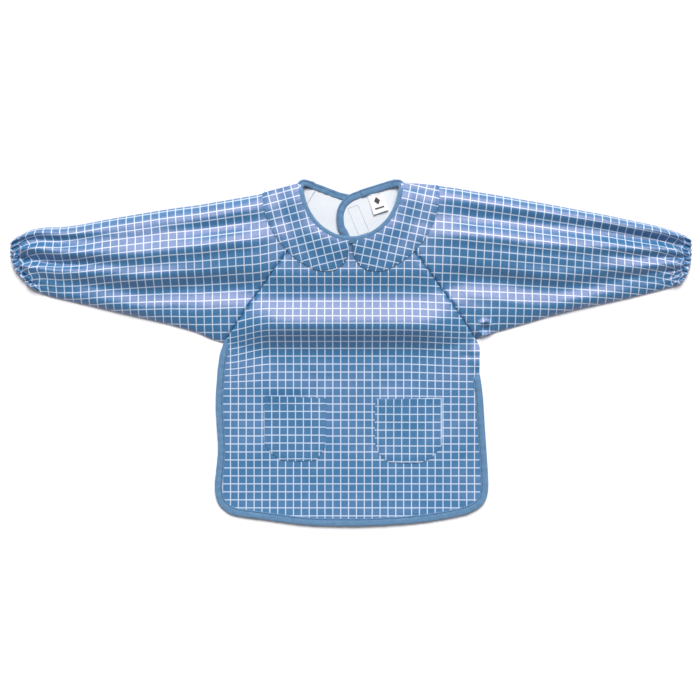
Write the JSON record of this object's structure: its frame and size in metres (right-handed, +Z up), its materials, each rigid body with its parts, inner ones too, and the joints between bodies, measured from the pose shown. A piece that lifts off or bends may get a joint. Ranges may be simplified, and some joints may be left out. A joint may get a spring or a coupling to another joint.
{
  "type": "artist smock",
  "caption": "Child's long-sleeved painting smock in coated check cloth with a round collar, patch pockets, elastic cuffs and overlapping back flaps, lying flat front up.",
  "frame": {"origin": "middle of the outline, on the table that the smock lies on", "axes": "+X along the sleeves towards the sleeve on the right as seen from above, +Y from hem to neck, +Z up out of the front"},
  "size_m": [0.852, 0.436, 0.0279],
  "materials": {
    "coated_check": "satin",
    "bias_binding": "matte",
    "elastic": "matte",
    "hook_and_loop": "matte",
    "label_tape": "satin"
  },
  "bodies": {
    "smock": {"front_panel": "coated_check", "sleeve_left_shoulder": "coated_check", "sleeve_right_shoulder": "coated_check", "neck_binding_front": "bias_binding", "hem_binding": "bias_binding", "collar_left_stand": "coated_check", "collar_right_stand": "coated_check", "pocket_left": "coated_check", "pocket_right": "coated_check"},
    "arm_left": {"sleeve_left_arm": "coated_check", "cuff_elastic_left": "elastic"},
    "arm_right": {"sleeve_right_arm": "coated_check", "cuff_elastic_right": "elastic"},
    "collar_left": {"collar_left_top": "coated_check", "collar_left_under": "coated_check"},
    "collar_right": {"collar_right_top": "coated_check", "collar_right_under": "coated_check"},
    "flap_right": {"back_flap_right": "coated_check", "back_binding_right": "bias_binding", "hook_pad": "hook_and_loop"},
    "flap_left": {"back_flap_left": "coated_check", "back_binding_left": "bias_binding", "loop_pad": "hook_and_loop"},
    "label": {"neck_label": "label_tape"}
  },
  "joints": [
    {"name": "sleeve_left_fold", "type": "hinge", "parent": "smock", "child": "arm_left", "pos_m": [-0.25, 0.0383, 0.026], "axis": [0.6157, 0.788, 0], "range_deg": [0, 180]},
    {"name": "sleeve_right_fold", "type": "hinge", "parent": "smock", "child": "arm_right", "pos_m": [0.25, 0.0383, 0.026], "axis": [0.6157, -0.788, 0], "range_deg": [0, 180]},
    {"name": "collar_left_turn_up", "type": "hinge", "parent": "smock", "child": "collar_left", "pos_m": [-0.0529, 0.1573, 0.0285], "axis": [-0.6618, 0.7497, 0], "range_deg": [0, 110]},
    {"name": "collar_right_turn_up", "type": "hinge", "parent": "smock", "child": "collar_right", "pos_m": [0.0529, 0.1573, 0.0285], "axis": [-0.6618, -0.7497, 0], "range_deg": [0, 110]},
    {"name": "back_flap_right_open", "type": "hinge", "parent": "smock", "child": "flap_right", "pos_m": [0.16, 0.014, 0], "axis": [0.5177, -0.8556, 0], "range_deg": [0, 75]},
    {"name": "back_flap_left_open", "type": "hinge", "parent": "smock", "child": "flap_left", "pos_m": [-0.16, 0.014, 0], "axis": [0.5177, 0.8556, 0], "range_deg": [0, 165]},
    {"name": "neck_label_lift", "type": "hinge", "parent": "flap_right", "child": "label", "pos_m": [0.0294, 0.198, 0.0061], "axis": [-0.9816, -0.1908, 0], "range_deg": [0, 150]}
  ],
  "couplings": [
    {"joint": "back_flap_left_open", "follows": "back_flap_right_open", "ratio": 2.2}
  ]
}
